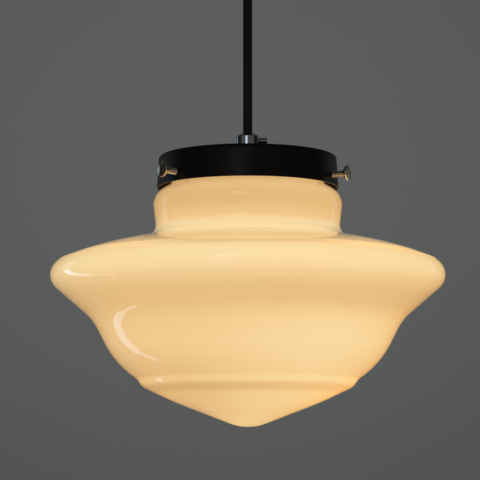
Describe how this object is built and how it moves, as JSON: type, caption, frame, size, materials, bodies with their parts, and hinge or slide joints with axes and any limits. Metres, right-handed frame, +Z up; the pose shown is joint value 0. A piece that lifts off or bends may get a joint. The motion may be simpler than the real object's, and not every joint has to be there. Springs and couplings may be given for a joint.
{
  "type": "glass pendant light",
  "caption": "Pendant light with a wide mushroom-shaped opal glass shade held by screws in a black gallery, hung on a round flex from a ceiling cup.",
  "frame": {"origin": "on the ceiling plane, midway between the two fixing slots of the ceiling bracket", "axes": "+Z up towards the ceiling, +X to the right and -Y towards the viewer of the picture"},
  "size_m": [0.24, 0.24, 0.3065],
  "materials": {
    "black_enamel": "gloss black stoved enamel on pressed steel",
    "bright_chrome": "chrome plate on turned brass and steel",
    "zinc_steel": "zinc plate on steel",
    "brass": "bare turned brass",
    "opal_glass": "mouth-blown opal glass, polished, lit from inside by a warm lamp",
    "black_flex": "black PVC sheath",
    "brown_core": "brown PVC insulation",
    "blue_core": "blue PVC insulation",
    "green_core": "green and yellow PVC insulation",
    "black_bakelite": "moulded phenolic, polished",
    "porcelain": "unglazed steatite",
    "white_nylon": "moulded nylon",
    "solder": "solder on a brass disc",
    "black_lamp_glass": "black vitreous insulator",
    "lamp_cap_aluminium": "drawn aluminium with a rolled thread",
    "frosted_lamp_glass": "frosted soda glass",
    "lamp_stem_glass": "clear flare glass",
    "filament": "phosphor-coated filament, lit"
  },
  "bodies": {
    "ceiling_fitting": {"ceiling_bracket": "zinc_steel", "earth_screw": "brass", "terminal_block": "white_nylon", "terminal_sleeves": "brass", "terminal_clamp_screws": "brass", "terminal_block_screws": "zinc_steel", "ceiling_cup": "black_enamel", "ceiling_cup_screws": "bright_chrome", "upper_nipple": "zinc_steel", "upper_washer": "zinc_steel", "upper_locknut": "zinc_steel", "upper_cord_grip": "bright_chrome", "upper_grip_screw": "bright_chrome", "upper_flex_end": "black_flex", "upper_live_core": "brown_core", "upper_neutral_core": "blue_core", "upper_earth_core": "green_core"},
    "flex": {"flex": "black_flex"},
    "pendant": {"lower_cord_grip": "bright_chrome", "lower_grip_screw": "bright_chrome", "lower_nipple": "zinc_steel", "gallery": "black_enamel", "lower_washer": "zinc_steel", "earth_tag": "brass", "lower_locknut": "zinc_steel", "lower_flex_end": "black_flex", "lower_live_core": "brown_core", "lower_neutral_core": "blue_core", "lower_earth_lead": "green_core", "lampholder_cap": "black_bakelite", "lampholder_body": "black_bakelite", "lampholder_core": "porcelain", "lampholder_terminals": "brass", "centre_contact": "brass", "contact_shell": "brass"},
    "shade": {"glass_shade": "opal_glass"},
    "gallery_screw_right": {"gallery_screw_right": "bright_chrome"},
    "gallery_screw_back": {"gallery_screw_back": "bright_chrome"},
    "gallery_screw_left": {"gallery_screw_left": "bright_chrome"},
    "lamp": {"lamp_contact": "solder", "lamp_insulator": "black_lamp_glass", "lamp_cap": "lamp_cap_aluminium", "lamp_glass": "frosted_lamp_glass", "lamp_stem": "lamp_stem_glass", "lamp_filaments": "filament"}
  },
  "joints": [
    {"name": "swing", "type": "hinge", "parent": "ceiling_fitting", "child": "flex", "pos_m": [0, 0, -0.0405], "axis": [0, 1, 0], "range_deg": [-20, 20]},
    {"name": "tilt", "type": "hinge", "parent": "flex", "child": "pendant", "pos_m": [0, 0, -0.127], "axis": [1, 0, 0], "range_deg": [-12, 12]},
    {"name": "shade_turn", "type": "hinge", "parent": "pendant", "child": "shade", "pos_m": [0, 0, -0.1611], "axis": [0, 0, 1], "continuous": true},
    {"name": "screw_right_out", "type": "slide", "parent": "pendant", "child": "gallery_screw_right", "axis": [0.9277, -0.3692, 0.056], "range_m": [0, 0.006]},
    {"name": "screw_back_out", "type": "slide", "parent": "pendant", "child": "gallery_screw_back", "axis": [-0.1441, 0.988, 0.056], "range_m": [0, 0.006]},
    {"name": "screw_left_out", "type": "slide", "parent": "pendant", "child": "gallery_screw_left", "axis": [-0.7835, -0.6188, 0.056], "range_m": [0, 0.006]},
    {"name": "lamp_out", "type": "slide", "parent": "pendant", "child": "lamp", "axis": [0, 0, -1], "range_m": [0, 0.022]}
  ]
}
